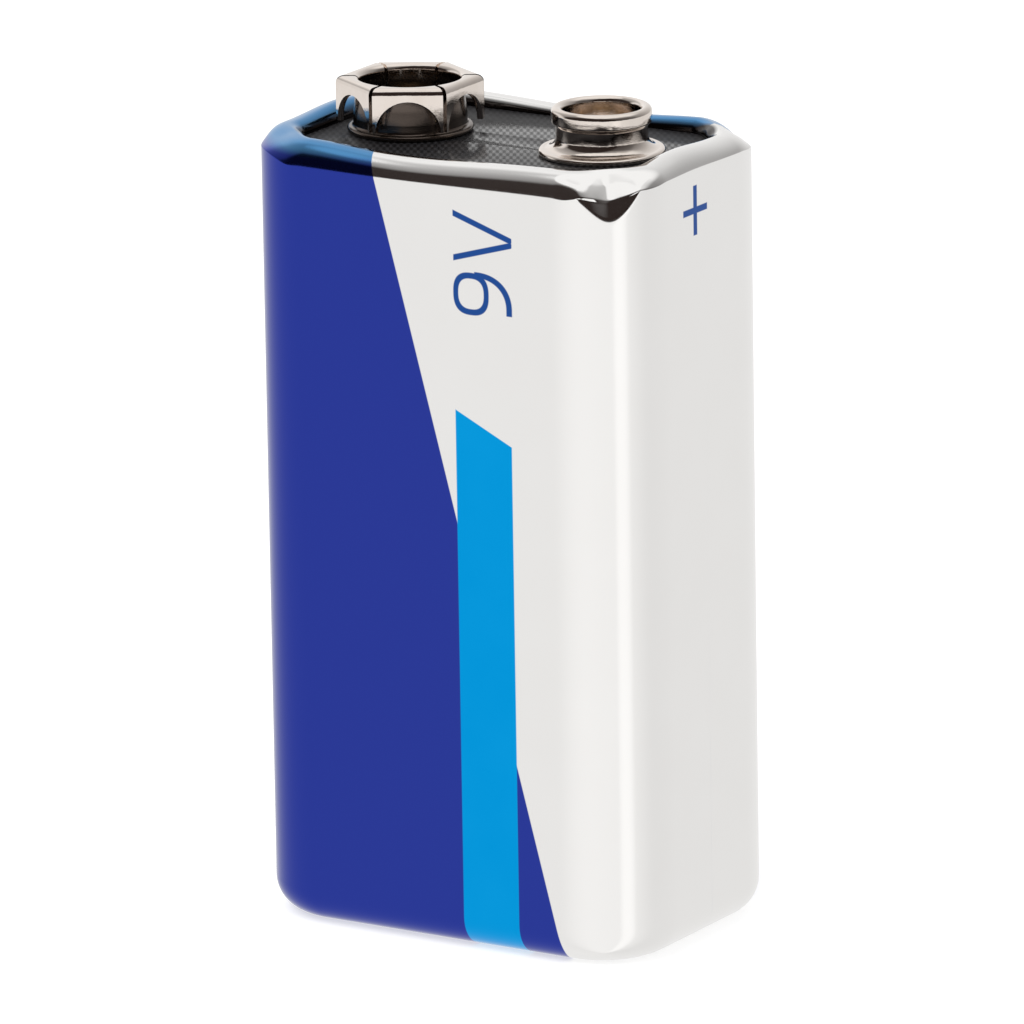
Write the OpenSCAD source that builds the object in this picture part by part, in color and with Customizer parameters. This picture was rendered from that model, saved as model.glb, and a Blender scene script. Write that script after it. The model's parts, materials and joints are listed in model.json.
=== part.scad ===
// Nine volt block battery with snap terminals and six round cells.
// Origin at the middle of the base, +Z up through the terminals, +X towards the positive stud.

/* [Jacket] */
// Width of the jacket along X
body_w = 26; // [25:0.1:29]
// Depth of the jacket along Y
body_d = 17.5; // [17:0.1:19]
// Height of the jacket, from the surface it stands on to the top of its rim
jacket_h = 45.9; // [40:0.1:60]
// Radius of the jacket's four upright corners
corner_r = 4.8; // [3.6:0.1:5]
// Thickness of the tinplate
tin_t = 0.3; // [0.2:0.05:0.4]
// Outer radius of the roll round the top
rim_r = 1.4; // [1.2:0.1:1.8]
// Outer radius of the curl that turns the roll down on to the terminal plate
curl_r = 0.75; // [0.6:0.05:0.9]
// Outer radius of the bend round the bottom
base_edge_r = 2; // [0.9:0.1:2.4]
// Width of the flat lip turned in under the base plate
base_lip = 0.8; // [0.5:0.1:1.2]

/* [Terminal plate] */
// Thickness of the black terminal plate
plate_t = 0.9; // [0.6:0.1:1.4]
// Distance between the two snap terminals, middle to middle
snap_spacing = 12.7; // [11.8:0.1:13]

/* [Positive stud] */
// Height of the stud above the terminal plate
stud_h = 2.75; // [2.6:0.05:4]
// Radius of the snap head
stud_head_r = 2.86; // [2.8:0.01:2.95]
// Height of the straight band round the head
stud_band_h = 0.5; // [0.3:0.05:0.7]
// Radius of the neck below the head
stud_neck_r = 2.62; // [2.5:0.01:2.75]
// Radius of the hollow inside the stud
stud_hollow_r = 2.2; // [2.1:0.05:2.3]
// Radius of the hollow flare where the neck meets the flange
stud_flare_r = 0.7; // [0.4:0.1:0.8]
// Radius of the stud's flange
stud_flange_r = 3.6; // [3.5:0.1:4]

/* [Negative socket] */
// Height of the socket above the terminal plate
socket_h = 3.15; // [3:0.05:4]
// Radius of the round bore that takes a snap stud
socket_bore_r = 2.95; // [2.9:0.01:3]
// Distance across the flats of the hexagon
hex_flats = 7.4; // [7.2:0.1:8.2]
// Height of the hexagon's folded skirt at its corners
skirt_h = 2.55; // [2.4:0.05:2.65]
// Rise of the arch in the lower edge of each side of the skirt
arch_h = 1.8; // [1.4:0.1:1.9]
// Width of that arch at the foot of the skirt
arch_w = 3.7; // [3:0.1:3.9]
// Thickness of the socket's spring sheet
spring_t = 0.3; // [0.2:0.05:0.3]
// Radius of the fold along the hexagon's outer edge
fold_r = 0.4; // [0.3:0.05:0.45]
// Radius of the edge where the fold turns down into the bore
mouth_r = 0.3; // [0.2:0.05:0.3]
// Width of the slits between the six spring leaves
slit_w = 0.2; // [0.1:0.05:0.3]
// Height of the unslit ring at the foot of the leaves
foot_h = 0.9; // [0.8:0.1:1.1]
// Radius of the socket's round flange
socket_flange_r = 3.6; // [3.4:0.1:4]

/* [Rivets and leads] */
// Thickness of the flanges of both snaps
flange_t = 0.35; // [0.3:0.05:0.4]
// Height of the floor inside both snaps, round the rivet's recess
floor_h = 0.6; // [0.55:0.05:0.7]
// Radius of the rivet shanks
shank_r = 1; // [0.8:0.1:1.2]
// Radius of the hole down each hollow rivet
rivet_hole_r = 0.6; // [0.4:0.1:0.6]
// Radius of the rivet heads under the plate
rivet_head_r = 2.2; // [1.8:0.1:2.4]
// Thickness of the rivet heads
rivet_head_t = 0.35; // [0.3:0.05:0.5]
// Radius of the rolled ends inside the snaps
rivet_roll_r = 1.6; // [1.5:0.1:1.8]
// Thickness of the rolled ends
rivet_roll_t = 0.2; // [0.1:0.05:0.2]
// Thickness of the lead strip
lead_t = 0.15; // [0.1:0.05:0.2]
// Width of the lead strip
lead_w = 2.4; // [2:0.1:2.8]
// Radius of the lead's eye under the rivet head
lead_eye_r = 1.9; // [1.6:0.1:2.2]

/* [Inner pack] */
// Thickness of the insulating pad above the cells
top_pad_t = 0.6; // [0.4:0.1:1]
// Thickness of the insulating pad below the cells
base_pad_t = 0.3; // [0.2:0.1:0.6]
// Thickness of the base plate's flange, above its boss
base_flange_t = 0.5; // [0.3:0.1:1]
// Thickness of the film round the six cells
liner_t = 0.12; // [0.08:0.01:0.2]
// Thickness of the welded straps
strap_t = 0.2; // [0.1:0.05:0.3]
// Width of the welded straps
strap_w = 3; // [2:0.1:3.5]

/* [Cells] */
// Thickness of each cell's plastic sleeve
sleeve_t = 0.08; // [0.06:0.01:0.15]
// Wall of each cell's steel can
can_t = 0.2; // [0.15:0.01:0.25]
// Radius of the positive nub
nub_r = 1.6; // [1.2:0.1:1.8]
// Height of the positive nub
nub_h = 0.8; // [0.5:0.1:1.2]
// Wall of the pressed cathode ring
cathode_t = 1.25; // [1:0.05:1.5]
// Thickness of the separator paper
separator_t = 0.2; // [0.1:0.05:0.3]
// Width of the seal's lip between the negative cap and the crimp
seal_lip_w = 0.45; // [0.3:0.05:0.7]
// Thickness of the negative cap
cap_t = 0.25; // [0.2:0.01:0.3]
// Width of the crimp that holds the seal
crimp_w = 0.6; // [0.4:0.05:0.7]
// Height of the seal
seal_h = 1.5; // [1:0.1:2.5]
// Radius of the collector nail
nail_r = 0.6; // [0.4:0.1:0.8]
// Length of the collector nail
nail_l = 27; // [15:1:30]

/* [Hidden] */
$fn = 96;
fit_gap = 0.05;
press_gap = 0.02;
cell_parts = ["can", "sleeve", "cathode", "separator", "anode", "seal", "cap"];
housing_nodes = [
    "jacket", "terminal_plate", "positive_stud", "negative_socket", "positive_rivet", "negative_rivet",
    "positive_lead", "negative_lead", "top_pad", "base_pad", "base_plate", "liner"
];
strap_nodes = [for (i = [1:5]) str("strap_", i)];
cell_nodes = [for (i = [1:6]) for (part = cell_parts) str("cell_", i, "_", part)];

// Levels above the surface the battery stands on
base_boss_z = tin_t;
base_pad_z = base_edge_r + base_flange_t;
base_strap_z = base_pad_z + base_pad_t;
cell_z = base_strap_z + strap_t;
plate_top_z = jacket_h - curl_r;
plate_z = plate_top_z - plate_t;
lead_z = plate_z - lead_t;
rivet_z = lead_z - rivet_head_t;
top_pad_z = rivet_z - top_pad_t;
cell_top_z = top_pad_z - strap_t;
cell_h = cell_top_z - cell_z;

// Distances in from the jacket's outer faces
wall_inset = tin_t + fit_gap;
liner_inset = wall_inset + liner_t;
pad_inset = liner_inset + fit_gap;

// The terminal plate's upper edge just clears the inside of the roll
plate_inset = rim_r - sqrt(pow(rim_r - tin_t, 2) - pow(rim_r - curl_r, 2)) + fit_gap;

// Six cells in three columns and two rows, as large as both directions and the rounded corners allow
pack_w = body_w - 2 * pad_inset;
pack_d = body_d - 2 * pad_inset;
pack_corner_r = corner_r - pad_inset;
corner_share = 1 - 1 / sqrt(2);
cell_d = min(cell_fit(pack_w, 3), cell_fit(pack_d, 2)) - fit_gap;
corner_shift = corner_share * max(0, pack_corner_r - cell_d / 2);
pitch_x = (pack_w - fit_gap - cell_d) / 2 - corner_shift;
pitch_y = pack_d - fit_gap - cell_d - 2 * corner_shift;
snap_x = snap_spacing / 2;

// The lead's upright passes just clear of the rivet head
lead_rise_y = rivet_head_r + fit_gap;

// Places of the cells in the order of the series chain, from the socket to the stud
cell_at = [
    [-pitch_x, -pitch_y / 2], [-pitch_x, pitch_y / 2], [0, pitch_y / 2],
    [0, -pitch_y / 2], [pitch_x, -pitch_y / 2], [pitch_x, pitch_y / 2]
];

// Radii and levels inside one cell, whose negative cap is at its foot
sleeve_r = cell_d / 2;
can_r = sleeve_r - sleeve_t - press_gap;
can_bore_r = can_r - can_t;
crimp_z = cap_t / 2;
crimp_bore_r = can_r - crimp_w;
cap_r = crimp_bore_r - seal_lip_w - 2 * press_gap;
shoulder_z = cell_h - nub_h;
cathode_r = can_bore_r - press_gap;
cathode_bore_r = cathode_r - cathode_t;
separator_r = cathode_bore_r - press_gap;
anode_r = separator_r - separator_t - press_gap;
seal_z = cap_t + press_gap;
fill_z = seal_z + seal_h + press_gap;
fill_top_z = shoulder_z - can_t - press_gap;

// Largest cell that fits a row: its end cells touch the walls, or the corners where those are wider than a cell
function cell_fit(run, count) =
    min(run / count, (run - 2 * corner_share * pack_corner_r) / (count - corner_share));

module rounded_rect(w, d, r) {
    square([w - 2 * r, d], center = true);
    square([w, d - 2 * r], center = true);
    for (x = [r - w / 2, w / 2 - r], y = [r - d / 2, d / 2 - r])
        translate([x, y])
            circle(r);
}

// A flat sheet that follows the jacket's outline, set in from its outer faces
module inset_sheet(inset, t) {
    linear_extrude(t)
        rounded_rect(body_w - 2 * inset, body_d - 2 * inset, corner_r - inset);
}

// Sweeps a wall section round the jacket's outline, with x measured from a corner's middle
module swept_round() {
    for (side = [0:3]) {
        across = side % 2 == 0 ? body_w : body_d;
        along = side % 2 == 0 ? body_d : body_w;
        rotate([0, 0, 90 * side])
            translate([across / 2 - corner_r, along / 2 - corner_r, 0]) {
                rotate_extrude(angle = 90)
                    children();
                rotate([90, 0, 0])
                    linear_extrude(along - 2 * corner_r)
                        children();
            }
    }
}

module ring_sector(r, t, size, at) {
    intersection() {
        difference() {
            circle(r);
            circle(r - t);
        }
        translate(at)
            square(size);
    }
}

module wall_section() {
    // Upright wall
    translate([corner_r - tin_t, base_edge_r])
        square([tin_t, jacket_h - rim_r - base_edge_r]);
    // Roll inwards over the top, and the curl that ends face down on the terminal plate
    translate([corner_r - rim_r, jacket_h - rim_r])
        ring_sector(rim_r, tin_t, [rim_r, rim_r], [0, 0]);
    translate([corner_r - rim_r, plate_top_z])
        ring_sector(curl_r, tin_t, [curl_r, curl_r], [-curl_r, 0]);
    // Bend and lip under the base plate
    translate([corner_r - base_edge_r, base_edge_r])
        ring_sector(base_edge_r, tin_t, [base_edge_r, base_edge_r], [0, -base_edge_r]);
    translate([corner_r - base_edge_r - base_lip, 0])
        square([base_lip, tin_t]);
}

module jacket() {
    color([0.88, 0.88, 0.87])
        swept_round()
            wall_section();
}

module snap_holes(r) {
    for (x = [-snap_x, snap_x])
        translate([x, 0, -1])
            cylinder(h = plate_t + 2, r = r);
}

module terminal_plate() {
    color([0.12, 0.12, 0.13])
        translate([0, 0, plate_z])
            difference() {
                inset_sheet(plate_inset, plate_t);
                snap_holes(shank_r + fit_gap);
            }
}

// A disc with a fully rounded edge
module flange_section(r) {
    square([r - flange_t / 2, flange_t]);
    translate([r - flange_t / 2, flange_t / 2])
        circle(flange_t / 2);
}

// The floor of a snap, with a recess that the rivet's rolled end lies in
module floor_section(r) {
    difference() {
        square([r, floor_h]);
        translate([0, flange_t])
            square([rivet_roll_r + fit_gap, floor_h]);
    }
}

module rivet_passage() {
    translate([0, 0, -1])
        cylinder(h = flange_t + 2, r = shank_r + fit_gap);
}

module stud_section() {
    head_t = stud_head_r - stud_hollow_r;
    top_r = head_t / 2;
    band_z = stud_h - top_r - stud_band_h;
    step = stud_head_r - stud_neck_r;
    flange_section(stud_flange_r);
    floor_section(stud_neck_r);
    // Neck
    translate([stud_hollow_r, 0])
        square([stud_neck_r - stud_hollow_r, band_z]);
    // Hollow flare between the neck and the flange
    difference() {
        translate([stud_neck_r - press_gap, flange_t / 2])
            square([stud_flare_r + press_gap, stud_flare_r + flange_t / 2]);
        translate([stud_neck_r + stud_flare_r, flange_t + stud_flare_r])
            circle(stud_flare_r);
    }
    // Head: a sloped underside, a straight band and a rolled top
    polygon([
        [stud_hollow_r, band_z - step], [stud_neck_r, band_z - step],
        [stud_head_r, band_z], [stud_hollow_r, band_z]
    ]);
    translate([stud_hollow_r, band_z])
        square([head_t, stud_band_h]);
    translate([stud_hollow_r + top_r, stud_h - top_r])
        circle(top_r);
}

module positive_stud() {
    color([0.78, 0.74, 0.7])
        translate([snap_x, 0, plate_top_z])
            difference() {
                rotate_extrude()
                    stud_section();
                rivet_passage();
            }
}

// One side of the hexagon: the land round the mouth and the skirt folded down from it
module leaf_section() {
    flat_r = hex_flats / 2;
    difference() {
        union() {
            translate([0, socket_h - skirt_h])
                square([flat_r, skirt_h - fold_r]);
            translate([0, socket_h - fold_r])
                square([flat_r - fold_r, fold_r]);
            translate([flat_r - fold_r, socket_h - fold_r])
                circle(fold_r);
        }
        translate([-1, -spring_t])
            square([flat_r - spring_t + 1, socket_h]);
    }
}

module leaf() {
    reach = hex_flats;
    arch_r = (pow(arch_w / 2, 2) + pow(arch_h, 2)) / (2 * arch_h);
    difference() {
        intersection() {
            rotate([90, 0, 0])
                linear_extrude(2 * reach, center = true)
                    leaf_section();
            linear_extrude(socket_h + 1)
                polygon([[0, 0], [reach, -reach * tan(30)], [reach, reach * tan(30)]]);
        }
        // Arch between the two corners, through the skirt alone
        translate([hex_flats / 2 - spring_t - fit_gap, 0, socket_h - skirt_h + arch_h - arch_r])
            rotate([0, 90, 0])
                cylinder(h = reach, r = arch_r);
    }
}

module leaf_slits() {
    for (i = [0:5])
        rotate([0, 0, 30 + 60 * i])
            translate([socket_bore_r / 2, -slit_w / 2, foot_h])
                cube([hex_flats, slit_w, socket_h]);
}

// The turned inside of the socket: flange, floor, bore wall, rounded mouth and the start of the land
module throat_section() {
    flange_section(socket_flange_r);
    floor_section(socket_bore_r + spring_t);
    translate([socket_bore_r, 0])
        square([spring_t, socket_h - mouth_r]);
    translate([socket_bore_r + mouth_r, socket_h - mouth_r])
        intersection() {
            circle(mouth_r);
            translate([-mouth_r, 0])
                square(mouth_r);
        }
    translate([socket_bore_r + mouth_r, socket_h - spring_t])
        square([fit_gap, spring_t]);
}

module negative_socket() {
    color([0.76, 0.71, 0.66])
        translate([-snap_x, 0, plate_top_z])
            difference() {
                union() {
                    difference() {
                        for (i = [0:5])
                            rotate([0, 0, 60 * i])
                                leaf();
                        cylinder(h = socket_h + 1, r = socket_bore_r + mouth_r + fit_gap / 2);
                    }
                    rotate_extrude()
                        throat_section();
                }
                leaf_slits();
                rivet_passage();
            }
}

module rivet() {
    roll_z = plate_top_z + flange_t;
    translate([0, 0, rivet_z])
        difference() {
            union() {
                cylinder(h = rivet_head_t, r = rivet_head_r);
                cylinder(h = roll_z - rivet_z, r = shank_r);
                translate([0, 0, roll_z - rivet_z])
                    cylinder(h = rivet_roll_t, r = rivet_roll_r);
            }
            translate([0, 0, rivet_head_t])
                cylinder(h = roll_z, r = rivet_hole_r);
        }
}

module positive_rivet() {
    color([0.72, 0.62, 0.45])
        translate([snap_x, 0, 0])
            rivet();
}

module negative_rivet() {
    color([0.72, 0.62, 0.45])
        translate([-snap_x, 0, 0])
            rivet();
}

// A bent strip from the last cell's pole, up through the pad, to the rivet's eye
module lead() {
    pole = cell_at[5];
    pole_r = lead_w / 2;
    color([0.8, 0.78, 0.74]) {
        translate([0, 0, cell_top_z])
            linear_extrude(lead_t) {
                translate(pole)
                    circle(pole_r);
                translate([pole[0] - pole_r, lead_rise_y])
                    square([lead_w, pole[1] - lead_rise_y]);
            }
        translate([pole[0] - pole_r, lead_rise_y, cell_top_z])
            cube([lead_w, lead_t, plate_z - cell_top_z]);
        translate([0, 0, lead_z])
            linear_extrude(lead_t)
                difference() {
                    union() {
                        translate([snap_x, 0])
                            circle(lead_eye_r);
                        translate([snap_x, -pole_r])
                            square([pole[0] + pole_r - snap_x, pole_r + lead_rise_y + lead_t]);
                    }
                    translate([snap_x, 0])
                        circle(shank_r + fit_gap);
                }
    }
}

module positive_lead() {
    lead();
}

module negative_lead() {
    rotate([0, 0, 180])
        lead();
}

module top_pad() {
    window_w = lead_w + 4 * fit_gap;
    window_d = lead_t + 4 * fit_gap;
    color([0.86, 0.84, 0.78])
        translate([0, 0, top_pad_z])
            difference() {
                inset_sheet(pad_inset, top_pad_t);
                for (turn = [0, 180])
                    rotate([0, 0, turn])
                        translate([cell_at[5][0] - window_w / 2, lead_rise_y - 2 * fit_gap, -1])
                            cube([window_w, window_d, top_pad_t + 2]);
            }
}

module base_pad() {
    color([0.86, 0.84, 0.78])
        translate([0, 0, base_pad_z])
            inset_sheet(pad_inset, base_pad_t);
}

// A boss that fills the space inside the bend, and a flange that reaches the wall above it
module base_plate() {
    color([0.11, 0.11, 0.12]) {
        translate([0, 0, base_boss_z])
            inset_sheet(base_edge_r + fit_gap, base_edge_r - base_boss_z);
        translate([0, 0, base_edge_r])
            inset_sheet(wall_inset, base_flange_t);
    }
}

module liner() {
    color([0.75, 0.8, 0.85])
        translate([0, 0, base_pad_z])
            difference() {
                inset_sheet(wall_inset, rivet_z - base_pad_z);
                translate([0, 0, -1])
                    inset_sheet(liner_inset, rivet_z - base_pad_z + 2);
            }
}

// Joins two neighbouring poles, below the cells for odd numbers and above them for even ones
module strap(i) {
    from = cell_at[i - 1];
    to = cell_at[i];
    run = norm(to - from);
    color([0.8, 0.78, 0.74])
        translate([from[0], from[1], i % 2 == 1 ? base_strap_z : cell_top_z])
            rotate([0, 0, atan2(to[1] - from[1], to[0] - from[0])])
                linear_extrude(strap_t) {
                    translate([0, -strap_w / 2])
                        square([run, strap_w]);
                    for (x = [0, run])
                        translate([x, 0])
                            circle(strap_w / 2);
                }
}

module cell_can() {
    color([0.72, 0.73, 0.75])
        rotate_extrude() {
            // Crimp, wall, shoulder and hollow nub of one deep drawn can
            translate([crimp_bore_r, crimp_z])
                square([crimp_w, can_t]);
            translate([can_bore_r, crimp_z])
                square([can_t, shoulder_z - crimp_z]);
            translate([nub_r - can_t, shoulder_z - can_t])
                square([can_bore_r - nub_r + 2 * can_t, can_t]);
            translate([nub_r - can_t, shoulder_z - can_t])
                square([can_t, nub_h + can_t]);
            translate([0, cell_h - can_t])
                square([nub_r, can_t]);
        }
}

module cell_sleeve() {
    color([0.3, 0.45, 0.3])
        rotate_extrude()
            translate([can_r + press_gap, crimp_z])
                square([sleeve_t, shoulder_z - crimp_z]);
}

module cell_cathode() {
    color([0.15, 0.15, 0.15])
        rotate_extrude()
            translate([cathode_bore_r, fill_z])
                square([cathode_t, fill_top_z - fill_z]);
}

module cell_separator() {
    color([0.92, 0.9, 0.85])
        rotate_extrude() {
            translate([separator_r - separator_t, fill_z])
                square([separator_t, fill_top_z - fill_z]);
            translate([0, fill_top_z - separator_t])
                square([separator_r, separator_t]);
        }
}

module cell_anode() {
    color([0.5, 0.5, 0.52])
        rotate_extrude()
            difference() {
                translate([0, fill_z])
                    square([anode_r, fill_top_z - separator_t - press_gap - fill_z]);
                square([nail_r + press_gap, cap_t + nail_l + press_gap]);
            }
}

module cell_seal() {
    color([0.85, 0.85, 0.8])
        rotate_extrude() {
            // Plug inside the can, above the crimp
            translate([nail_r + press_gap, crimp_z + can_t + press_gap])
                square([cathode_r - nail_r - press_gap, fill_z - press_gap - crimp_z - can_t - press_gap]);
            // Lip between the cap's edge and the crimp
            translate([cap_r + press_gap, crimp_z])
                square([seal_lip_w, 2 * can_t]);
        }
}

// The cap and the nail welded to it
module cell_cap() {
    color([0.78, 0.7, 0.5]) {
        cylinder(h = cap_t, r = cap_r);
        cylinder(h = cap_t + nail_l, r = nail_r);
    }
}

// Odd cells stand on their positive nubs and even cells on their negative caps
module placed_cell(i) {
    at = cell_at[i - 1];
    if (i % 2 == 1)
        translate([at[0], at[1], cell_top_z])
            rotate([180, 0, 0])
                children();
    else
        translate([at[0], at[1], cell_z])
            children();
}

jacket();
terminal_plate();
positive_stud();
negative_socket();
positive_rivet();
negative_rivet();
positive_lead();
negative_lead();
top_pad();
base_pad();
base_plate();
liner();
for (i = [1:5])
    strap(i);
for (i = [1:6]) {
    placed_cell(i) cell_can();
    placed_cell(i) cell_sleeve();
    placed_cell(i) cell_cathode();
    placed_cell(i) cell_separator();
    placed_cell(i) cell_anode();
    placed_cell(i) cell_seal();
    placed_cell(i) cell_cap();
}
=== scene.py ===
import json
import math

import bmesh
import bpy
from mathutils import Matrix, Vector


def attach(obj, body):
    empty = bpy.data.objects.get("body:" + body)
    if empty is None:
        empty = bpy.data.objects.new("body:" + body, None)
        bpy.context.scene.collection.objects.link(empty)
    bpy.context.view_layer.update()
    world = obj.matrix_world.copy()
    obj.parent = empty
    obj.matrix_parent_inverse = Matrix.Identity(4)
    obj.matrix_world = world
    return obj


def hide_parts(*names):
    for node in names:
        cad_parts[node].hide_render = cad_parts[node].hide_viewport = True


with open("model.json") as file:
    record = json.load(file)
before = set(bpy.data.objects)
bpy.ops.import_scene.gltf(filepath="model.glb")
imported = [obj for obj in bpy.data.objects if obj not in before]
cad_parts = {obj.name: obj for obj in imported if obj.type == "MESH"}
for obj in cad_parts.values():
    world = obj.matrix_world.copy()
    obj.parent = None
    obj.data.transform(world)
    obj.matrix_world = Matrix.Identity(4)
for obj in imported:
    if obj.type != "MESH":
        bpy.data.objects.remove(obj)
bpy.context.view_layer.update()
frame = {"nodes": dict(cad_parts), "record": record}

# Sizes in millimetres, as in the part's source
MM = 0.001
BODY_W = 26.0
BODY_D = 17.5
JACKET_H = 45.9
CORNER_R = 4.8
TIN_T = 0.3
RIM_R = 1.4
CURL_R = 0.75
BASE_EDGE_R = 2.0
BASE_LIP = 0.8
PLATE_TOP = JACKET_H - CURL_R
PLATE_T = 0.9
SNAP_X = 6.35


class Field:
    """A value that varies over a surface. Arithmetic on it adds Math nodes to its tree."""

    def __init__(self, nodes, socket):
        self.nodes = nodes
        self.socket = socket

    def math(self, operation, *values):
        return self.nodes.add("ShaderNodeMath", {"operation": operation}, dict(enumerate(values)))

    def part(self, output):
        return Field(self.nodes, self.socket.node.outputs[output])

    def __add__(self, other):
        return self.math("ADD", self, other)

    __radd__ = __add__

    def __sub__(self, other):
        return self.math("SUBTRACT", self, other)

    def __rsub__(self, other):
        return self.math("SUBTRACT", other, self)

    def __mul__(self, other):
        return self.math("MULTIPLY", self, other)

    __rmul__ = __mul__

    def __truediv__(self, other):
        return self.math("DIVIDE", self, other)

    def __neg__(self):
        return self.math("MULTIPLY", self, -1.0)

    def __abs__(self):
        return self.math("ABSOLUTE", self)

    def __pow__(self, other):
        return self.math("POWER", self, other)

    def least(self, other):
        return self.math("MINIMUM", self, other)

    def most(self, other):
        return self.math("MAXIMUM", self, other)

    def clamped(self):
        return self.nodes.add("ShaderNodeClamp", {}, {0: self})

    def rise(self, low, high):
        """0 below low, 1 above high, and smooth between them."""
        settings = {"interpolation_type": "SMOOTHSTEP"}
        return self.nodes.add("ShaderNodeMapRange", settings, {0: self, 1: low, 2: high})


class Nodes:
    """The node tree of one material or of the world."""

    def __init__(self, tree):
        self.tree = tree
        tree.nodes.clear()

    def add(self, kind, settings=None, values=None, output=0):
        node = self.tree.nodes.new(kind)
        for name, value in (settings or {}).items():
            setattr(node, name, value)
        for key, value in (values or {}).items():
            self.feed(node.inputs[key], value)
        return Field(self, node.outputs[output])

    def feed(self, socket, value):
        if isinstance(value, Field):
            self.tree.links.new(value.socket, socket)
        elif isinstance(value, tuple) and len(value) == 3 and socket.type == "RGBA":
            socket.default_value = (*value, 1.0)
        else:
            socket.default_value = value

    def finish_with(self, kind, shader):
        """Ends the tree with its output node."""
        self.feed(self.tree.nodes.new(kind).inputs["Surface"], shader)

    def blend(self, factor, first, second):
        """Mixes two colours."""
        return self.add("ShaderNodeMix", {"data_type": "RGBA"}, {0: factor, 6: first, 7: second}, output=2)

    def place(self):
        """The point on the object, in millimetres: vector, x, y and z."""
        coordinates = self.add("ShaderNodeTexCoord", output="Object")
        scaled = self.add("ShaderNodeVectorMath", {"operation": "SCALE"}, {0: coordinates, "Scale": 1 / MM})
        split = self.add("ShaderNodeSeparateXYZ", {}, {0: scaled})
        return scaled, split.part("X"), split.part("Y"), split.part("Z")

    def stretch(self, point, factors):
        """The point with each axis scaled by its own factor."""
        return self.add("ShaderNodeVectorMath", {"operation": "MULTIPLY"}, {0: point, 1: factors})

    def wave(self, turns):
        """A sine of whole turns."""
        return self.add("ShaderNodeMath", {"operation": "SINE"}, {0: turns * math.tau})

    def mirrored(self, path):
        """1 for rays that polished or clear surfaces send on."""
        return path.part("Is Glossy Ray").most(path.part("Is Transmission Ray"))

    def noise(self, point, scale, detail=3.0, roughness=0.5):
        values = {"Vector": point, "Scale": scale, "Detail": detail, "Roughness": roughness}
        return self.add("ShaderNodeTexNoise", {}, values, output="Fac")


class Finish(Nodes):
    """One procedural material: a Principled shader and what feeds it."""

    def __init__(self, name, **uniform):
        self.material = bpy.data.materials.new(name)
        self.material.use_nodes = True
        super().__init__(self.material.node_tree)
        self.shader = self.tree.nodes.new("ShaderNodeBsdfPrincipled")
        self.finish_with("ShaderNodeOutputMaterial", Field(self, self.shader.outputs[0]))
        for name, value in uniform.items():
            self.feed(self.shader.inputs[name.replace("_", " ").title().replace("Ior", "IOR")], value)

    def varies(self, name, value):
        self.feed(self.shader.inputs[name], value)

    def relief(self, height, depth):
        """Bump from a height field; depth is in millimetres."""
        values = {"Distance": depth * MM, "Height": height}
        self.varies("Normal", self.add("ShaderNodeBump", {}, values, output="Normal"))


def edge(distance, blur=0.05):
    """1 where the distance is positive and 0 where it is negative, with a soft edge of blur millimetres."""
    return (distance / blur + 0.5).clamped()


def length(a, b):
    return (a * a + b * b) ** 0.5


def stroke(a, b, start, end):
    """Distance from the point (a, b) to a straight stroke."""
    run = (end[0] - start[0], end[1] - start[1])
    square = run[0] ** 2 + run[1] ** 2
    along = (((a - start[0]) * run[0] + (b - start[1]) * run[1]) / square).clamped()
    return length(a - start[0] - along * run[0], b - start[1] - along * run[1])


def ring(a, b, radii, power):
    """Distance from the point (a, b) to an ellipse about the origin, near enough for a thin line.
    A power above 2 makes the ellipse squarer."""
    reach = (abs(a / radii[0]) ** power + abs(b / radii[1]) ** power) ** (1 / power)
    return abs(reach - 1.0) * min(radii)


def bar(a, b, half_width, half_height):
    """Inside of a rectangle about the origin of a and b, as a positive distance."""
    return (half_width - abs(a)).least(half_height - abs(b))


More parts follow.
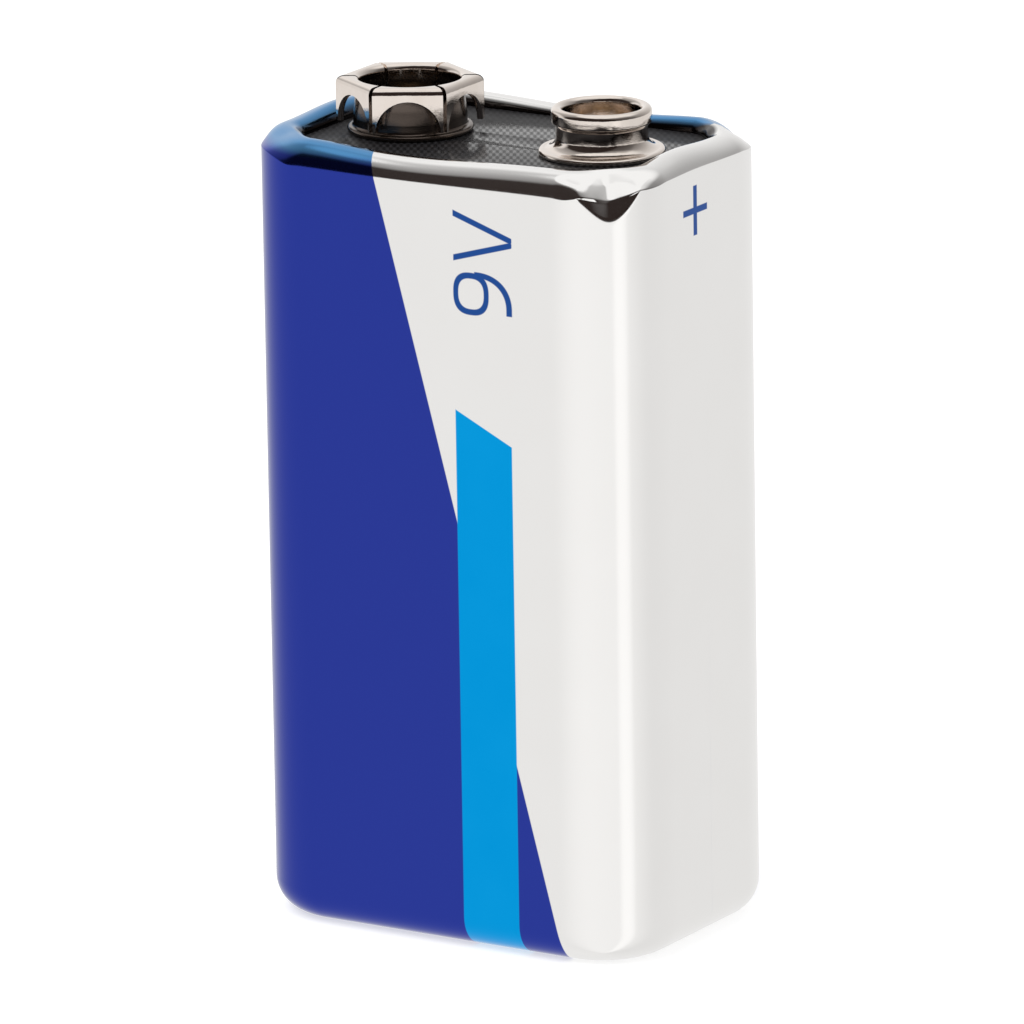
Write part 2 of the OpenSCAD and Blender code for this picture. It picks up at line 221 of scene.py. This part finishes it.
def lithographed_tinplate():
    """Bare bright sheet, with the deep blue field, the sky blue band and the marks printed on it."""
    sheet = Finish("lithographed_tinplate", metallic=1.0)
    point, x, y, z = sheet.place()
    front = edge(-y, 0.01)
    across = x * (front * 2.0 - 1.0)
    inset = (BODY_D / 2 - abs(y)).most(0.0)
    past_x, past_y = (abs(x) - BODY_W / 2 + CORNER_R).most(0.0), (abs(y) - BODY_D / 2 + CORNER_R).most(0.0)
    inwards = CORNER_R - length(past_x, past_y)

    # Deep blue left of a straight slanting edge, which the roll carries over the rim
    run = z + inset * 1.2
    slant = edge(-3.4 - (run - 44.63) * 0.2677 - across)
    behind_stud = edge((y - 3.95) - (x - 8.2) * 1.54)
    socket_side = edge(-4.25 - x - y)
    deep_blue = (slant * front).most(slant * behind_stud * (1.0 - front)).most(socket_side * (1.0 - front))

    # Sky blue band with a slanting top
    band_side = (across - 1.82).least(5.5 - across)
    band_top = 31.7 - (across - 1.82) * 0.48 - z
    sky_blue = edge(band_side.least(band_top)) * edge(abs(y) - 5.5)

    # The voltage, turned to read upwards, and the signs of the terminals
    on_face = edge(abs(y) - 7.0)
    v_shape = stroke(across, z, (1.7, 43.1), (5.56, 41.83)).least(stroke(across, z, (1.7, 40.44), (5.56, 41.55)))
    v_ends = edge((across - 1.84).least(5.68 - across))
    bowl = ring(across - 2.97, z - 38.5, (1.0, 1.05), 2.6)
    tail = ring(across - 3.376, (z - 37.79).most(0.0), (2.09, 1.84), 2.2)
    tail_side = edge((across - 3.2).least(z - 37.47))
    voltage = (edge(0.17 - v_shape) * v_ends).most(edge(0.165 - bowl)).most(edge(0.165 - tail) * tail_side)
    voltage = voltage * on_face
    sign_y = y * (edge(x, 0.01) * 2.0 - 1.0) + 1.0
    on_side = edge(abs(x) - 11.5)
    upright = bar(sign_y, z - 42.8, 0.2, 1.43)
    level = bar(sign_y, z - 42.8, 1.3, 0.19)
    plus = edge(upright.most(level)) * on_side * edge(x)
    minus = edge(level) * on_side * edge(-x)

    cloud = sheet.noise(point, 0.22, 4.0)
    grain = sheet.noise(sheet.stretch(point, (14.0, 14.0, 1.2)), 1.0, 2.0)
    silver = sheet.blend(cloud, (0.885, 0.876, 0.862), (0.915, 0.908, 0.897))
    # Painted highlight: the lacquer is made lighter and more cyan on top of the roll
    roll_painted_highlight = z.rise(45.0, 45.5)
    lacquer = sheet.blend(roll_painted_highlight, (0.027, 0.047, 0.345), (0.09, 0.28, 0.55))
    band = sheet.blend(cloud, (0.0, 0.33, 0.78), (0.004, 0.37, 0.83))
    colour = sheet.blend(deep_blue, silver, lacquer)
    colour = sheet.blend(sky_blue, colour, band)
    colour = sheet.blend(voltage.most(plus), colour, (0.022, 0.085, 0.33))
    colour = sheet.blend(minus, colour, (0.62, 0.66, 0.76))
    # Inside the curl the sheet is painted near black: painted shade where the curl keeps the light off it
    curl_painted_shade = edge(inwards - 1.98, 0.25) * edge(z - 43.0)
    sheet.varies("Base Color", sheet.blend(curl_painted_shade, colour, (0.035, 0.03, 0.03)))
    printed = deep_blue.most(sky_blue)
    sheet.varies("Roughness", 0.07 + grain * 0.03 + cloud * 0.03 + printed * 0.03)

    # The print stands a few microns proud, and the side seam is a hairline on the back
    seam = edge(0.06 - abs(x + 9.4), 0.04) * edge(y - 7.0)
    sheet.relief(grain * 0.25 + printed * 0.5 - seam * 2.0, 0.004)
    return sheet


def embossed_board():
    """Black board with a fine embossing that catches the light."""
    board = Finish("embossed_board", specular_ior_level=0.3, coat_roughness=0.14)
    point, x, y, z = board.place()
    # Two crossing waves, each given by its turns per millimetre along x and y
    weave = (board.wave(x * 2.2 + y * 1.353) * board.wave(y * 0.585 - x * 0.315) * 0.9 + 0.45).clamped()
    dust = board.noise(point, 3.0, 4.0)
    board.varies("Base Color", board.blend(weave, (0.004, 0.0035, 0.004), (0.022, 0.021, 0.023)))
    board.varies("Roughness", 0.45 + dust * 0.2)
    # Painted reflection: the coat is strong between the snaps and weak at the back and round the socket, in place of
    # the dark reflections of the rim and the socket there
    painted_sheen = (1.0 - y.rise(3.4, 4.4)) * (x + y * 0.25).rise(-5.5, -0.5)
    board.varies("Coat Weight", (0.28 + weave * 0.6 + dust * 0.1) * (0.12 + painted_sheen * 0.88))
    board.relief(weave + dust * 0.15, 0.006)
    return board


def nickel():
    """Plated spring sheet, bright, with fine drawing marks and a warm cast."""
    plate = Finish("nickel_plated_sheet", metallic=1.0)
    point, x, y, z = plate.place()
    marks = plate.noise(plate.stretch(point, (1.0, 1.0, 9.0)), 3.0, 3.0)
    cloud = plate.noise(point, 0.8, 3.0)
    # The socket's barrel and flange, under the leaves, are painted dark brown and made rougher: painted shade where the
    # leaves keep the light off them
    reach = length(x + SNAP_X, y)
    leaf_painted_shade = (edge(3.36 - reach) * edge(47.6 - z, 0.5)).most(edge(3.75 - reach) * edge(45.68 - z))
    bright = plate.blend(cloud, (0.72, 0.64, 0.57), (0.87, 0.8, 0.75))
    plate.varies("Base Color", plate.blend(leaf_painted_shade, bright, (0.13, 0.105, 0.09)))
    plate.varies("Roughness", 0.04 + marks * 0.03 + cloud * 0.02 + leaf_painted_shade * 0.15)
    plate.relief(marks * 0.5 + cloud, 0.004)
    return plate


def brass():
    """Turned rivet brass, slightly dulled."""
    metal = Finish("rivet_brass", metallic=1.0)
    point = metal.place()[0]
    cloud = metal.noise(point, 1.5, 4.0)
    metal.varies("Base Color", metal.blend(cloud, (0.5, 0.36, 0.2), (0.72, 0.56, 0.36)))
    metal.varies("Roughness", 0.25 + cloud * 0.2)
    metal.relief(metal.noise(point, 9.0, 2.0), 0.006)
    return metal


def moulded(name, dark, pale, rough, grain_scale=6.0, depth=0.015, **uniform):
    """A moulded or pressed material: cloudy colour with a fine grain."""
    stuff = Finish(name, **uniform)
    point = stuff.place()[0]
    cloud = stuff.noise(point, 0.7, 4.0)
    grain = stuff.noise(point, grain_scale, 3.0, 0.6)
    stuff.varies("Base Color", stuff.blend((cloud + grain) * 0.5, dark, pale))
    stuff.varies("Roughness", rough + grain * 0.15)
    stuff.relief(grain, depth)
    return stuff


def rolled(name, dark, pale, rough):
    """Rolled or deep drawn strip: metal with lengthwise lines."""
    strip = Finish(name, metallic=1.0)
    point = strip.place()[0]
    lines = strip.noise(strip.stretch(point, (1.0, 1.0, 0.08)), 8.0, 2.0)
    cloud = strip.noise(point, 0.6, 3.0)
    strip.varies("Base Color", strip.blend(cloud, dark, pale))
    strip.varies("Roughness", rough + lines * 0.15)
    strip.relief(lines, 0.008)
    return strip


FINISHES = {
    "jacket": lithographed_tinplate(),
    "terminal_plate": embossed_board(),
    "snap_metal": nickel(),
    "rivet_metal": brass(),
    "base_plate": moulded("base_plastic", (0.012, 0.012, 0.013), (0.03, 0.03, 0.032), 0.42, 5.0),
    "pad": moulded("insulating_board", (0.55, 0.5, 0.4), (0.74, 0.7, 0.6), 0.7, 4.0, 0.03),
    "liner": moulded("shrink_film", (0.5, 0.58, 0.64), (0.62, 0.7, 0.76), 0.12, 2.0, 0.01),
    "strap": rolled("welded_strap", (0.55, 0.53, 0.5), (0.7, 0.68, 0.65), 0.2),
    "can": rolled("drawn_can", (0.52, 0.53, 0.55), (0.66, 0.67, 0.69), 0.18),
    "sleeve": moulded("shrunk_sleeve", (0.06, 0.19, 0.08), (0.11, 0.27, 0.13), 0.22, 2.5, 0.01),
    "cathode": moulded("pressed_cathode", (0.02, 0.02, 0.02), (0.06, 0.06, 0.062), 0.6, 9.0, 0.05),
    "separator": moulded("separator_paper", (0.7, 0.67, 0.58), (0.84, 0.82, 0.75), 0.8, 12.0, 0.03),
    "anode": moulded("anode_gel", (0.2, 0.2, 0.22), (0.38, 0.38, 0.4), 0.3, 7.0, 0.04),
    "seal": moulded("nylon_seal", (0.66, 0.65, 0.57), (0.78, 0.77, 0.7), 0.4, 4.0, 0.01),
    "cap": rolled("plated_cap", (0.6, 0.5, 0.32), (0.76, 0.68, 0.5), 0.2),
}
SLOT_OF = {part["node"]: part["material_slot"] for part in frame["record"]["subparts"]}

for name, node in frame["nodes"].items():
    finish = FINISHES[SLOT_OF[name]].material
    if not node.material_slots:
        node.data.materials.append(finish)
    for slot in node.material_slots:
        slot.material = finish


def add_piece(name, shape, slot, replaced, crease=38.0):
    """Makes a mesh object from a bmesh in millimetres, dresses it and lets it stand for its CAD nodes."""
    bmesh.ops.recalc_face_normals(shape, faces=shape.faces)
    shape.transform(Matrix.Scale(MM, 4))
    mesh = bpy.data.meshes.new(name)
    shape.to_mesh(mesh)
    shape.free()
    mesh.shade_smooth()
    mesh.set_sharp_from_angle(angle=math.radians(crease))
    mesh.materials.append(FINISHES[slot].material)
    piece = bpy.data.objects.new(name, mesh)
    bpy.context.scene.collection.objects.link(piece)
    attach(piece, "root")
    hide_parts(*replaced)
    return piece


def join_loops(shape, loops, closed):
    """Adds a skin of quads over loops of points that all have the same count."""
    rows = [[shape.verts.new(p) for p in loop] for loop in loops]
    count = len(rows[0])
    last = len(rows) if closed else len(rows) - 1
    for i in range(last):
        here, there = rows[i], rows[(i + 1) % len(rows)]
        for j in range(count):
            k = (j + 1) % count
            shape.faces.new([here[j], here[k], there[k], there[j]])
    return rows


def turn(shape, profile, centre, steps=128):
    """Turns a closed profile of (radius, height) points about an upright axis."""
    loops = []
    for i in range(steps):
        angle = 2 * math.pi * i / steps
        c, s = math.cos(angle), math.sin(angle)
        loops.append([(centre[0] + r * c, centre[1] + r * s, centre[2] + h) for r, h in profile])
    join_loops(shape, loops, closed=True)


def arc(centre, radius, start, end, steps):
    """Points on an arc, with angles in degrees from the first axis."""
    points = []
    for i in range(steps + 1):
        angle = math.radians(start + (end - start) * i / steps)
        points.append((centre[0] + radius * math.cos(angle), centre[1] + radius * math.sin(angle)))
    return points


def mix(a, b, t):
    return a + (b - a) * t


def smooth(t):
    t = min(max(t, 0.0), 1.0)
    return t * t * (3 - 2 * t)


def polyline(points, t):
    """The point at share t along a list of (share, inset, height) stops."""
    for (t0, u0, z0), (t1, u1, z1) in zip(points, points[1:]):
        if t <= t1:
            f = (t - t0) / (t1 - t0)
            return mix(u0, u1, f), mix(z0, z1, f)
    return points[-1][1:]


# How the rim differs from place to place: where the wall ends and how high the roll's crest lies.
# The long sides sag and the short sides rise a little, as on a rolled sheet; the corners are flattened,
# and the pleats pressed into them are deepest at the front corner by the stud.
LONG_ROLL, SHORT_ROLL, CORNER_ROLL = 44.38, 44.95, 44.98
LONG_SAG, SHORT_RISE = 0.3, 0.22
PLEAT_DEPTH = (0.5, 0.5, 0.0, 1.0)
PLEAT_MIDDLE = (48.5, 41.5, 48.5, 41.5)
PLEAT_HALF = 22.0
PLEAT_FOOT, PLEAT_TOP, PLEAT_INSET = 43.42, 44.44, 0.4
FACET_STEPS = 7
ROLL_STEPS = 28
CURL_STEPS = 9
# The flattened corner above the pleat, as (share, inset, height)
SHOULDER = [(0.0, 0.0, 0.0), (0.04, 0.03, 0.02), (0.4, 0.8, 0.45), (0.75, 1.45, 0.75), (1.0, 1.85, 0.88)]
SHOULDER_INSET, SHOULDER_RISE = SHOULDER[-1][1:]


def pleat_weight(corner, turned):
    """1 in the middle of a pleat, and 0 outside its two straight edges."""
    x = abs(turned - PLEAT_MIDDLE[corner]) / PLEAT_HALF
    blunt = 0.3
    fall = (math.hypot(x, blunt) - blunt) / (math.hypot(1, blunt) - blunt)
    return PLEAT_DEPTH[corner] * max(0.0, 1 - fall)


def wall_section(corner, turned, along):
    """Outer surface of the jacket, as (inset, height) from the lip to the end of the curl.
    turned is the angle in degrees round a corner, or None along a side, where along runs from 0 to 1."""
    if turned is None:
        short = corner % 2 == 1
        bow = math.sin(math.pi * along ** 0.75) ** 2
        roll_z = SHORT_ROLL if short else LONG_ROLL
        crest_z = JACKET_H + (SHORT_RISE if short else -LONG_SAG) * bow
        flat = pleat = 0.0
    else:
        to_short = turned / 90 if corner % 2 == 1 else 1 - turned / 90
        roll_z = mix(LONG_ROLL, SHORT_ROLL, smooth(to_short))
        crest_z = JACKET_H
        flat = smooth(1 - abs(turned - 45) / 45)
        pleat = pleat_weight(corner, turned)
    section = [(BASE_EDGE_R + BASE_LIP, 0.0), (BASE_EDGE_R + BASE_LIP / 2, 0.0)]
    section += arc((BASE_EDGE_R, BASE_EDGE_R), BASE_EDGE_R, -90, -180, 10)
    section += [(0.0, z) for z in (6, 12, 18, 24, 30, 36, 40, 42)]
    # A pleat leans the top of the wall inwards, above a fold that points down
    shoulder_z = mix(mix(roll_z, CORNER_ROLL, flat), PLEAT_TOP, pleat)
    foot_z = mix(shoulder_z - 0.02, PLEAT_FOOT, pleat)
    shoulder_u = PLEAT_INSET * pleat
    section.append((0.0, foot_z - 0.35))
    for i in range(FACET_STEPS):
        section.append((shoulder_u * i / FACET_STEPS, mix(foot_z, shoulder_z, i / FACET_STEPS)))
    rise = crest_z - shoulder_z
    for i in range(ROLL_STEPS + 1):
        t = i / ROLL_STEPS
        angle = math.radians(90 * t)
        side = (RIM_R * (1 - math.cos(angle)), shoulder_z + rise * math.sin(angle))
        u, h = polyline(SHOULDER, t)
        folded = (shoulder_u + u * (1 - shoulder_u / SHOULDER_INSET), shoulder_z + h / SHOULDER_RISE * rise)
        section.append((mix(side[0], folded[0], flat), mix(side[1], folded[1], flat)))
    crest_u, crest_z = section[-1]
    reach = CURL_R * (1 - 0.1 * flat)
    for i in range(1, CURL_STEPS + 1):
        angle = math.radians(90 * i / CURL_STEPS)
        height = mix(PLATE_TOP, crest_z, math.cos(angle))
        section.append((crest_u + reach * math.sin(angle), height))
    return section


def sheet_loop(section, thickness):
    """Closes a section with the same line moved inwards by the sheet's thickness."""
    inner = []
    for i, (u, z) in enumerate(section):
        before, after = section[max(i - 1, 0)], section[min(i + 1, len(section) - 1)]
        du, dz = after[0] - before[0], after[1] - before[1]
        span = math.hypot(du, dz)
        inner.append((u + thickness * dz / span, z - thickness * du / span))
    inner[-1] = (section[-1][0] - thickness, section[-1][1])
    return section + inner[::-1]


CORNER_STEPS = 60
SIDE_STEPS = 16


def outline_stations():
    """Walks round the jacket: the base point, the outward direction, the corner or side,
    the turn within a corner, and how far along a side."""
    stations = []
    half_w, half_d = BODY_W / 2 - CORNER_R, BODY_D / 2 - CORNER_R
    corners = [(half_w, half_d), (-half_w, half_d), (-half_w, -half_d), (half_w, -half_d)]
    for i, centre in enumerate(corners):
        for k in range(CORNER_STEPS + 1):
            turned = 90 * k / CORNER_STEPS
            angle = math.radians(90 * i + turned)
            stations.append((centre, (math.cos(angle), math.sin(angle)), i, turned, 0.0))
        following = corners[(i + 1) % 4]
        outward = (math.cos(math.radians(90 * i + 90)), math.sin(math.radians(90 * i + 90)))
        for k in range(1, SIDE_STEPS):
            between = tuple(mix(a, b, k / SIDE_STEPS) for a, b in zip(centre, following))
            stations.append((between, outward, i, None, k / SIDE_STEPS))
    return stations


def make_jacket():
    shape = bmesh.new()
    loops = []
    for (cx, cy), (ox, oy), corner, turned, along in outline_stations():
        loop = sheet_loop(wall_section(corner, turned, along), TIN_T)
        loops.append([(cx + ox * (CORNER_R - u), cy + oy * (CORNER_R - u), z) for u, z in loop])
    join_loops(shape, loops, closed=True)
    return add_piece("jacket_shell", shape, "jacket", ["jacket"], crease=50.0)


def make_terminal_plate():
    """The board, cut back at its corners under the pleats, with holes for the two rivets."""
    curve = bpy.data.curves.new("board_outline", "CURVE")
    curve.dimensions = "2D"
    curve.fill_mode = "BOTH"
    curve.extrude = PLATE_T / 2 - 0.04
    curve.bevel_depth = 0.04
    curve.bevel_resolution = 1
    curve.offset = -0.04
    inset, corner = 0.6, 7.3
    half_w, half_d = BODY_W / 2 - inset - corner, BODY_D / 2 - inset - corner
    rim = []
    for i, (cx, cy) in enumerate([(half_w, half_d), (-half_w, half_d), (-half_w, -half_d), (half_w, -half_d)]):
        rim += arc((cx, cy), corner, 90 * i, 90 * i + 90, 24)
    holes = [arc((x, 0.0), 1.05, 0, 360, 48)[:-1] for x in (-SNAP_X, SNAP_X)]
    for points in [rim] + holes:
        spline = curve.splines.new("POLY")
        spline.points.add(len(points) - 1)
        for target, (x, y) in zip(spline.points, points):
            target.co = (x, y, 0.0, 1.0)
        spline.use_cyclic_u = True
    holder = bpy.data.objects.new("board_outline", curve)
    bpy.context.scene.collection.objects.link(holder)
    shape = bmesh.new()
    evaluated = holder.evaluated_get(bpy.context.evaluated_depsgraph_get())
    shape.from_mesh(evaluated.to_mesh())
    bpy.data.objects.remove(holder)
    bpy.data.curves.remove(curve)
    bmesh.ops.remove_doubles(shape, verts=shape.verts, dist=0.001)
    shape.transform(Matrix.Translation((0, 0, PLATE_TOP - PLATE_T / 2)))
    return add_piece("embossed_terminal_board", shape, "terminal_plate", ["terminal_plate"], crease=30.0)


def make_stud():
    """The male snap: flange, hollow flare, neck, head with its band and rolled lip, and the floor inside."""
    profile = [(1.05, 0.0), (3.42, 0.0)]
    profile += arc((3.425, 0.175), 0.175, -90, 90, 10)
    profile += [(3.38, 0.35), (3.34, 0.36)]
    profile += arc((3.32, 1.05), 0.7, 268, 182, 16)
    profile += [(2.62, 1.15), (2.62, 1.62), (2.64, 1.68), (2.81, 1.85), (2.85, 1.9), (2.86, 1.96), (2.86, 2.39)]
    profile += arc((2.53, 2.42), 0.33, 0, 180, 20)
    profile += [(2.2, 2.3), (2.2, 0.85)]
    profile += arc((2.0, 0.8), 0.2, 0, -90, 5)
    profile += [(1.75, 0.6), (1.66, 0.57), (1.65, 0.5), (1.65, 0.35), (1.05, 0.35)]
    shape = bmesh.new()
    turn(shape, profile, (SNAP_X, 0.0, PLATE_TOP))
    return add_piece("snap_stud", shape, "snap_metal", ["positive_stud"])


HEX_FLAT = 3.7
HEX_TOP = 3.15
SLIT = 0.1
ARCH_HALF = 1.85
ARCH_H = 1.8
SKIRT_FOOT = 0.6


def skirt_foot(y):
    """Height of a side's lower edge: an arch between two narrow legs."""
    radius = (ARCH_HALF ** 2 + ARCH_H ** 2) / (2 * ARCH_H)
    if abs(y) >= ARCH_HALF:
        return SKIRT_FOOT
    return SKIRT_FOOT + ARCH_H - radius + math.sqrt(radius ** 2 - y ** 2)


def leaf_loop(share):
    """Section through one spring leaf at a share of its half width: points of (distance, height, flatness)."""
    y = HEX_FLAT * math.tan(math.radians(share * 28.4))
    foot = skirt_foot(y)
    # Each line: distance from the axis, height, and 0 for a round or 1 for a flat run
    inner = [(2.95, 0.9, 0), (2.93, 1.2, 0), (2.88, 1.6, 0), (2.84, 2.0, 0), (2.84, 2.35, 0), (2.87, 2.65, 0)]
    mouth = [(r, h, 0) for r, h in arc((3.2, 2.82), 0.33, 180, 90, 7)]
    fold = [(r, h, 1) for r, h in arc((3.3, 2.75), 0.4, 90, 0, 7)]
    outer = [(HEX_FLAT, mix(2.75, foot, f), 1) for f in (0.35, 0.7, 0.97)]
    back = [(HEX_FLAT - 0.04, foot, 1), (HEX_FLAT - 0.26, foot, 1), (HEX_FLAT - 0.3, foot + 0.04, 1)]
    under = [(3.4, 2.76, 1), (3.34, 2.84, 1), (3.26, 2.84, 0), (3.22, 2.78, 0), (3.16, 2.35, 0)]
    under += [(3.14, 2.0, 0), (3.18, 1.6, 0), (3.23, 1.2, 0), (3.25, 0.9, 0)]
    return inner + mouth + fold + outer + back + under


def make_socket():
    """The female snap: six spring leaves on an unslit ring, with the round flange and the floor inside."""
    shape = bmesh.new()
    foot = [(1.05, 0.0), (3.42, 0.0)]
    foot += arc((3.425, 0.175), 0.175, -90, 90, 8)
    foot += [(3.33, 0.36), (3.27, 0.42), (3.25, 0.5), (3.25, 0.9), (2.95, 0.9), (2.95, 0.8)]
    foot += arc((2.77, 0.78), 0.18, 0, -90, 5)
    foot += [(1.75, 0.6), (1.66, 0.57), (1.65, 0.5), (1.65, 0.35), (1.05, 0.35)]
    turn(shape, foot, (-SNAP_X, 0.0, PLATE_TOP))
    shares = [0, 0.15, 0.3, 0.45, 0.58, 0.7, 0.79, 0.86, 0.9, 0.925, 0.9355, 0.9365, 0.97, 1.0]
    shares = [-s for s in shares[:0:-1]] + shares
    for side in range(6):
        heading = math.radians(60 * side)
        c, s = math.cos(heading), math.sin(heading)
        loops = []
        for share in shares:
            loop = []
            for distance, height, flat in leaf_loop(share):
                angle = share * (math.radians(30) - math.asin(SLIT / distance))
                if flat:
                    px, py = distance, distance * math.tan(angle)
                else:
                    px, py = distance * math.cos(angle), distance * math.sin(angle)
                loop.append((-SNAP_X + px * c - py * s, px * s + py * c, PLATE_TOP + height))
            loops.append(loop)
        rows = join_loops(shape, loops, closed=False)
        shape.faces.new(rows[0])
        shape.faces.new(rows[-1])
    return add_piece("snap_socket", shape, "snap_metal", ["negative_socket"])


def make_rivet(name, x, node):
    """A hollow rivet: flat head under the board, shank, and the rolled end inside the snap."""
    profile = [(0.0, -1.4), (2.12, -1.4), (2.2, -1.33), (2.2, -1.1), (2.15, -1.05), (1.0, -1.05), (1.0, 0.35)]
    profile += [(1.5, 0.35)] + arc((1.5, 0.45), 0.1, -90, 90, 6)
    profile += [(1.1, 0.55), (0.8, 0.53), (0.66, 0.46), (0.6, 0.36), (0.6, -1.0), (0.0, -1.0)]
    shape = bmesh.new()
    turn(shape, profile, (x, 0.0, PLATE_TOP), 96)
    bmesh.ops.remove_doubles(shape, verts=shape.verts, dist=0.0005)
    return add_piece(name, shape, "rivet_metal", [node])


make_jacket()
make_terminal_plate()
make_stud()
make_socket()
make_rivet("rolled_rivet_stud", SNAP_X, "positive_rivet")
make_rivet("rolled_rivet_socket", -SNAP_X, "negative_rivet")


def make_floor():
    """Pale floor, which holds the shadow. Polished metal shows the pale half of the world in its place."""
    shape = bmesh.new()
    bmesh.ops.create_grid(shape, x_segments=8, y_segments=8, size=2.5)
    mesh = bpy.data.meshes.new("floor")
    shape.to_mesh(mesh)
    shape.free()
    floor = bpy.data.objects.new("floor", mesh)
    bpy.context.scene.collection.objects.link(floor)
    material = bpy.data.materials.new("pale_floor")
    material.use_nodes = True
    nodes = Nodes(material.node_tree)
    path = nodes.add("ShaderNodeLightPath")
    plain = nodes.add("ShaderNodeBsdfDiffuse", {}, {"Color": (0.5, 0.5, 0.5)})
    lift = nodes.add("ShaderNodeEmission", {}, {"Strength": 0.62})
    lifted = nodes.add("ShaderNodeAddShader", {}, {0: plain, 1: lift})
    to_eye = nodes.add("ShaderNodeMixShader", {}, {0: path.part("Is Camera Ray"), 1: plain, 2: lifted})
    unseen = nodes.add("ShaderNodeBsdfTransparent")
    mirrored = nodes.mirrored(path)
    shown = nodes.add("ShaderNodeMixShader", {}, {0: mirrored, 1: to_eye, 2: unseen})
    nodes.finish_with("ShaderNodeOutputMaterial", shown)
    mesh.materials.append(material)


def make_world():
    """White surroundings to the eye; for polished metal a pale sheet below, a dark front and a pale back."""
    world = bpy.data.worlds.new("studio")
    bpy.context.scene.world = world
    world.use_nodes = True
    nodes = Nodes(world.node_tree)
    path = nodes.add("ShaderNodeLightPath")
    direction = nodes.add("ShaderNodeTexCoord", output="Generated")
    split = nodes.add("ShaderNodeSeparateXYZ", {}, {0: direction})
    x, y, z = split.part("X"), split.part("Y"), split.part("Z")
    # Below the horizon: a pale sheet, a little brighter towards the camera, with one narrow bright strip
    level = length(x, y).most(0.001)
    toward = (x * 0.574 - y * 0.819) / level
    strip = (x * 0.906 - y * 0.423) / level
    sheet = 0.865 - x / level * 0.04 + toward.rise(0.3, 1.0) * 0.135 + strip.rise(0.975, 1.0) * 0.13
    # Above it: dark in front and paler behind, dimmer to the right where low, with a light overhead and one at the left
    back = y - (1.0 - z) * 0.25
    sky = 0.015 + back.rise(-0.66, -0.45) * 0.28 + ((back + 0.45) / 0.6).clamped() * 0.3 + back.rise(0.1, 0.38) * 0.39
    sky = sky * (1.0 - ((x + 0.67) * 0.5).clamped() * (1.0 - z.rise(0.6, 0.85)))
    sky = sky + z.rise(0.84, 0.9) * (0.85 - z.rise(0.955, 0.985) * 0.4)
    sky = sky.most((-x).rise(0.82, 0.95) * 0.85)
    glossy = nodes.blend(sky.clamped(), (0.02, 0.012, 0.01), (1.0, 0.995, 0.99))
    below = nodes.add("ShaderNodeCombineColor", {}, {0: sheet, 1: sheet * 0.995, 2: sheet * 0.99})
    glossy = nodes.blend(z.rise(-0.015, 0.02), below, glossy)
    mirrored = nodes.mirrored(path)
    seen = nodes.blend(mirrored, (0.95, 0.95, 0.95), glossy)
    seen = nodes.blend(path.part("Is Camera Ray"), seen, (1.0, 1.0, 1.0))
    nodes.finish_with("ShaderNodeOutputWorld", nodes.add("ShaderNodeBackground", {}, {"Color": seen}))


def make_lamp(name, place, target, size, power):
    lamp = bpy.data.lights.new(name, "AREA")
    lamp.shape = "SQUARE"
    lamp.size = size
    lamp.energy = power
    holder = bpy.data.objects.new(name, lamp)
    holder.location = place
    holder.rotation_euler = (Vector(place) - Vector(target)).to_track_quat("Z", "Y").to_euler()
    holder.visible_glossy = False
    bpy.context.scene.collection.objects.link(holder)


def make_camera():
    """Long lens, a little above the battery and round to its stud end."""
    azimuth, elevation, roll = (math.radians(a) for a in (31.8094, 14.8982, -0.9028))
    back = Vector((
        math.sin(azimuth) * math.cos(elevation), -math.cos(azimuth) * math.cos(elevation), math.sin(elevation)
    ))
    right = Vector((math.cos(azimuth), math.sin(azimuth), 0.0))
    up = back.cross(right)
    target = Vector((0.0, 0.0, 24.0)) + right * 0.0146 - up * 0.524
    place = target + back * 680.657
    turned_right = right * math.cos(roll) + up * math.sin(roll)
    turned_up = up * math.cos(roll) - right * math.sin(roll)
    camera = bpy.data.objects.new("camera", bpy.data.cameras.new("camera"))
    camera.data.lens = 420.22
    camera.data.sensor_width = 36.0
    camera.data.clip_start = 0.05
    camera.data.clip_end = 20.0
    camera.matrix_world = Matrix((
        (turned_right.x, turned_up.x, back.x, place.x * MM),
        (turned_right.y, turned_up.y, back.y, place.y * MM),
        (turned_right.z, turned_up.z, back.z, place.z * MM),
        (0.0, 0.0, 0.0, 1.0),
    ))
    bpy.context.scene.collection.objects.link(camera)
    bpy.context.scene.camera = camera


make_floor()
make_world()
make_lamp("overhead_softbox", (-0.12, -0.3, 0.5), (0.0, 0.0, 0.03), 0.35, 1.6)
make_lamp("side_fill", (0.5, 0.1, 0.3), (0.0, 0.0, 0.03), 0.4, 0.6)
make_camera()

view = bpy.context.scene.view_settings
view.view_transform = "Standard"
